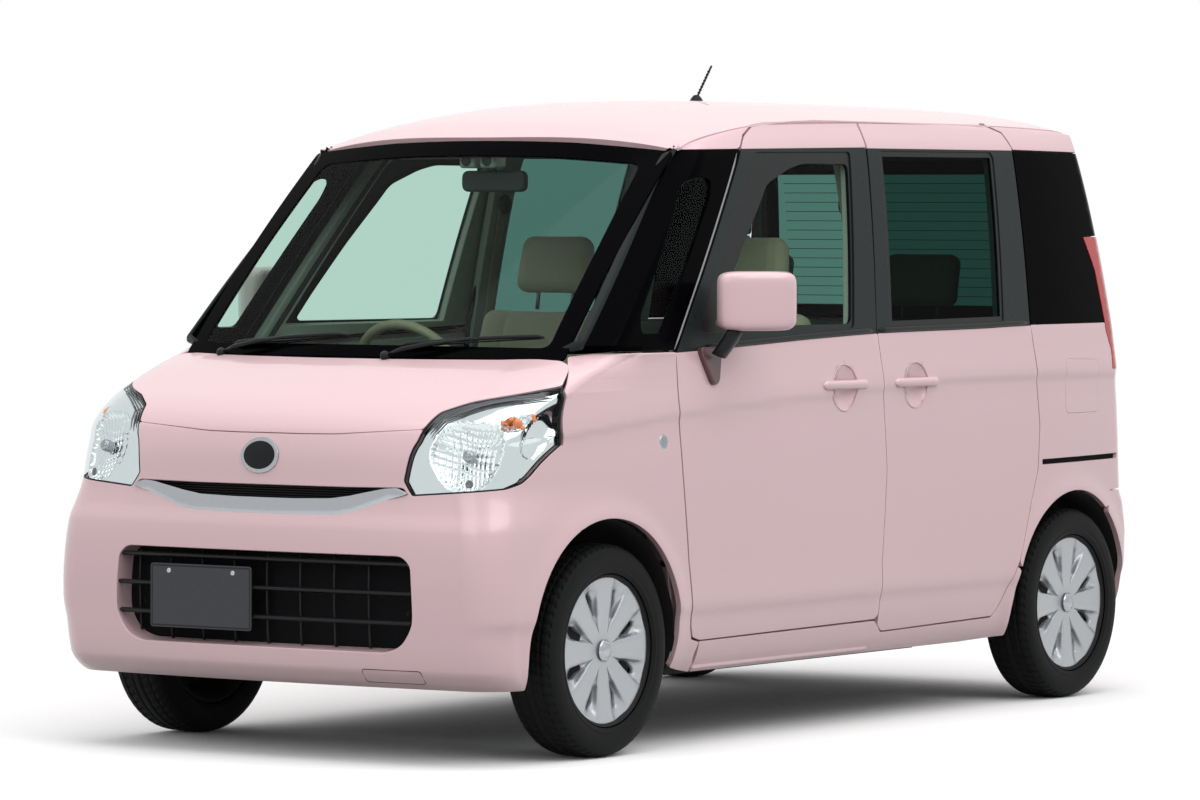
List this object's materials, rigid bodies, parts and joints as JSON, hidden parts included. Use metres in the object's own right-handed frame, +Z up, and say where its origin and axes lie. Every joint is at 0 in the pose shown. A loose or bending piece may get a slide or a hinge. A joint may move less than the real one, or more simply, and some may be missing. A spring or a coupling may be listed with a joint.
{
  "type": "kei car",
  "caption": "Small boxy family car with hinged front doors, hood, tailgate and fuel lid, sliding-style rear doors, steered front wheels and four rolling wheels.",
  "frame": {"origin": "on the ground, midway along the length, on the centre line", "axes": "+X forward to the nose, +Y to the car's left, +Z up"},
  "size_m": [3.3945, 1.84, 1.8388],
  "materials": {
    "paint": "pearl gloss",
    "dark_metal": "satin",
    "black_plastic": "matt",
    "bright_bar": "polished",
    "lamp_clear": "clear",
    "lamp_red": "gloss",
    "screen_glass": "clear",
    "privacy_glass": "dark tint",
    "dash_plastic": "grained",
    "seat_cloth": "knit",
    "tan_plastic": "grained",
    "cast_alloy": "cast",
    "steel": "satin",
    "cover_silver": "satin",
    "tyre": "matt"
  },
  "bodies": {
    "body": {"floor_pan": "dark_metal", "side_frame_left": "paint", "side_frame_right": "paint", "roof_panel": "paint", "front_structure": "dark_metal", "fenders": "paint", "front_bumper": "paint", "smile_bar": "bright_bar", "lower_grille": "black_plastic", "front_plate": "black_plastic", "headlamps": "lamp_clear", "windshield": "screen_glass", "cowl_wipers": "black_plastic", "fixed_side_glass": "privacy_glass", "rear_door_left": "paint", "rear_door_right": "paint", "rear_door_glass": "privacy_glass", "rear_bumper": "paint", "tail_lamps": "lamp_red", "dashboard": "dash_plastic", "driver_seat": "seat_cloth", "passenger_seat": "seat_cloth", "rear_seat": "seat_cloth", "engine_block": "cast_alloy", "front_suspension": "dark_metal", "rear_axle": "dark_metal", "exhaust": "steel", "antenna": "black_plastic", "room_mirror": "black_plastic"},
    "hood": {"hood": "paint"},
    "front_door_left": {"front_door_left": "paint", "door_glass_left": "screen_glass", "mirror_left": "paint"},
    "front_door_right": {"front_door_right": "paint", "door_glass_right": "screen_glass", "mirror_right": "paint"},
    "tailgate": {"tailgate": "paint", "tailgate_glass": "privacy_glass"},
    "fuel_lid": {"fuel_lid": "paint"},
    "steering_wheel": {"steering_wheel": "tan_plastic"},
    "knuckle_left": {"knuckle_left": "steel"},
    "knuckle_right": {"knuckle_right": "steel"},
    "wheel_fl": {"wheel_fl": "cover_silver", "tyre_fl": "tyre"},
    "wheel_fr": {"wheel_fr": "cover_silver", "tyre_fr": "tyre"},
    "wheel_rl": {"wheel_rl": "cover_silver", "tyre_rl": "tyre"},
    "wheel_rr": {"wheel_rr": "cover_silver", "tyre_rr": "tyre"}
  },
  "joints": [
    {"name": "hood_hinge", "type": "hinge", "parent": "body", "child": "hood", "pos_m": [1.185, 0, 1.053], "axis": [0, -1, 0], "range_deg": [0, 55]},
    {"name": "front_door_left_hinge", "type": "hinge", "parent": "body", "child": "front_door_left", "pos_m": [0.842, 0.739, 0.6], "axis": [0, 0, -1], "range_deg": [0, 65]},
    {"name": "front_door_right_hinge", "type": "hinge", "parent": "body", "child": "front_door_right", "pos_m": [0.842, -0.739, 0.6], "axis": [0, 0, 1], "range_deg": [0, 65]},
    {"name": "tailgate_hinge", "type": "hinge", "parent": "body", "child": "tailgate", "pos_m": [-1.542, 0, 1.706], "axis": [0, 1, 0], "range_deg": [0, 85]},
    {"name": "fuel_lid_hinge", "type": "hinge", "parent": "body", "child": "fuel_lid", "pos_m": [-1.222, 0.7365, 0.915], "axis": [0, 0, -1], "range_deg": [0, 80]},
    {"name": "knuckle_left_steer", "type": "hinge", "parent": "body", "child": "knuckle_left", "pos_m": [1.1365, 0.6, 0.2785], "axis": [0, 0, 1], "range_deg": [-32, 32]},
    {"name": "knuckle_right_steer", "type": "hinge", "parent": "body", "child": "knuckle_right", "pos_m": [1.1365, -0.6, 0.2785], "axis": [0, 0, 1], "range_deg": [-32, 32]},
    {"name": "steering_wheel_turn", "type": "hinge", "parent": "body", "child": "steering_wheel", "pos_m": [0.56, -0.33, 0.945], "axis": [-0.9063, 0, 0.4226], "range_deg": [-450, 450]},
    {"name": "wheel_fl_spin", "type": "hinge", "parent": "knuckle_left", "child": "wheel_fl", "pos_m": [1.1365, 0.6475, 0.2785], "axis": [0, 1, 0], "continuous": true},
    {"name": "wheel_fr_spin", "type": "hinge", "parent": "knuckle_right", "child": "wheel_fr", "pos_m": [1.1365, -0.6475, 0.2785], "axis": [0, 1, 0], "continuous": true},
    {"name": "wheel_rl_spin", "type": "hinge", "parent": "body", "child": "wheel_rl", "pos_m": [-1.2885, 0.645, 0.2785], "axis": [0, 1, 0], "continuous": true},
    {"name": "wheel_rr_spin", "type": "hinge", "parent": "body", "child": "wheel_rr", "pos_m": [-1.2885, -0.645, 0.2785], "axis": [0, 1, 0], "continuous": true}
  ],
  "couplings": [
    {"joint": "knuckle_right_steer", "follows": "knuckle_left_steer", "ratio": 1},
    {"joint": "steering_wheel_turn", "follows": "knuckle_left_steer", "ratio": 14}
  ]
}
